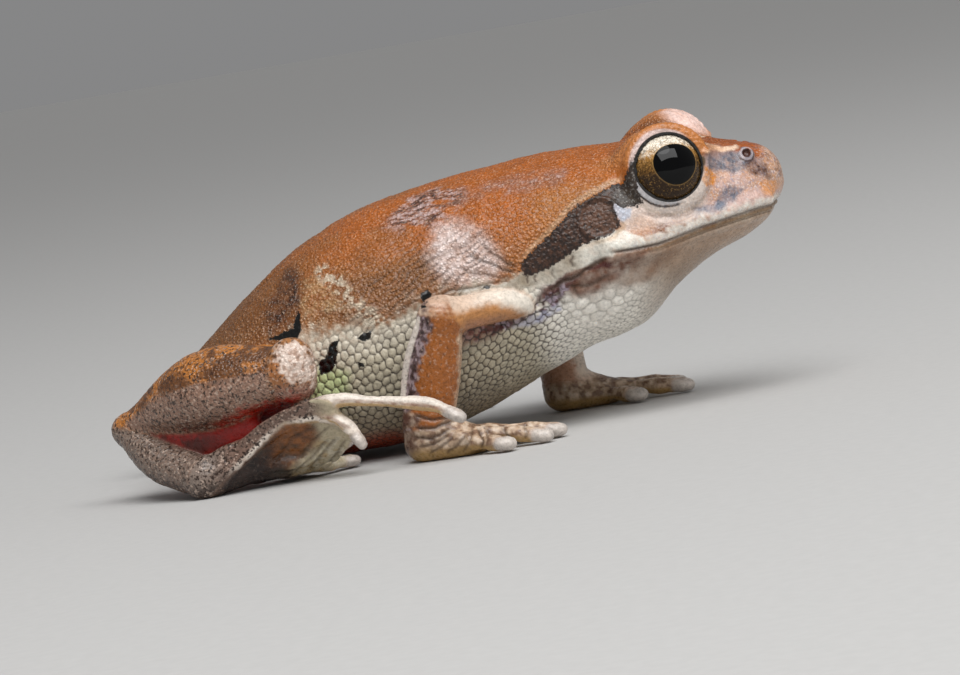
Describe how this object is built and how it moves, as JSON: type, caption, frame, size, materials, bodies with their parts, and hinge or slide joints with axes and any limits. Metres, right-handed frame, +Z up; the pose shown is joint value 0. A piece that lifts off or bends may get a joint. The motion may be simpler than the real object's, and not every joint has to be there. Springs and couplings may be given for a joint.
{
  "type": "whistling tree frog",
  "caption": "Still, life-size model of a plump whistling tree frog that sits with its head raised, toes spread and a long toe over its hand.",
  "frame": {"origin": "on the floor, under the middle of the whole frog's box", "axes": "+X from vent to snout along the body, +Y to the frog's left, +Z up"},
  "size_m": [0.0398, 0.0302, 0.0168],
  "materials": {
    "skin_back": "moist orange-brown granular skin with a satin gloss",
    "skin_belly": "cream cobbled skin, satin",
    "skin_hand": "cream to amber thin skin, moist satin",
    "eye_gold": "wet gloss over a gold iris and a black pupil"
  },
  "bodies": {
    "root": {"head": "skin_back", "lower_jaw": "skin_belly", "torso": "skin_back", "eye_right": "eye_gold", "eye_left": "eye_gold", "upper_arm_right": "skin_back", "forearm_right": "skin_back", "hand_right": "skin_hand", "upper_arm_left": "skin_back", "forearm_left": "skin_back", "hand_left": "skin_hand", "thigh_right": "skin_back", "shank_right": "skin_back", "tarsus_right": "skin_back", "foot_right": "skin_hand", "thigh_left": "skin_back", "shank_left": "skin_back", "tarsus_left": "skin_back", "foot_left": "skin_hand"}
  },
  "joints": []
}
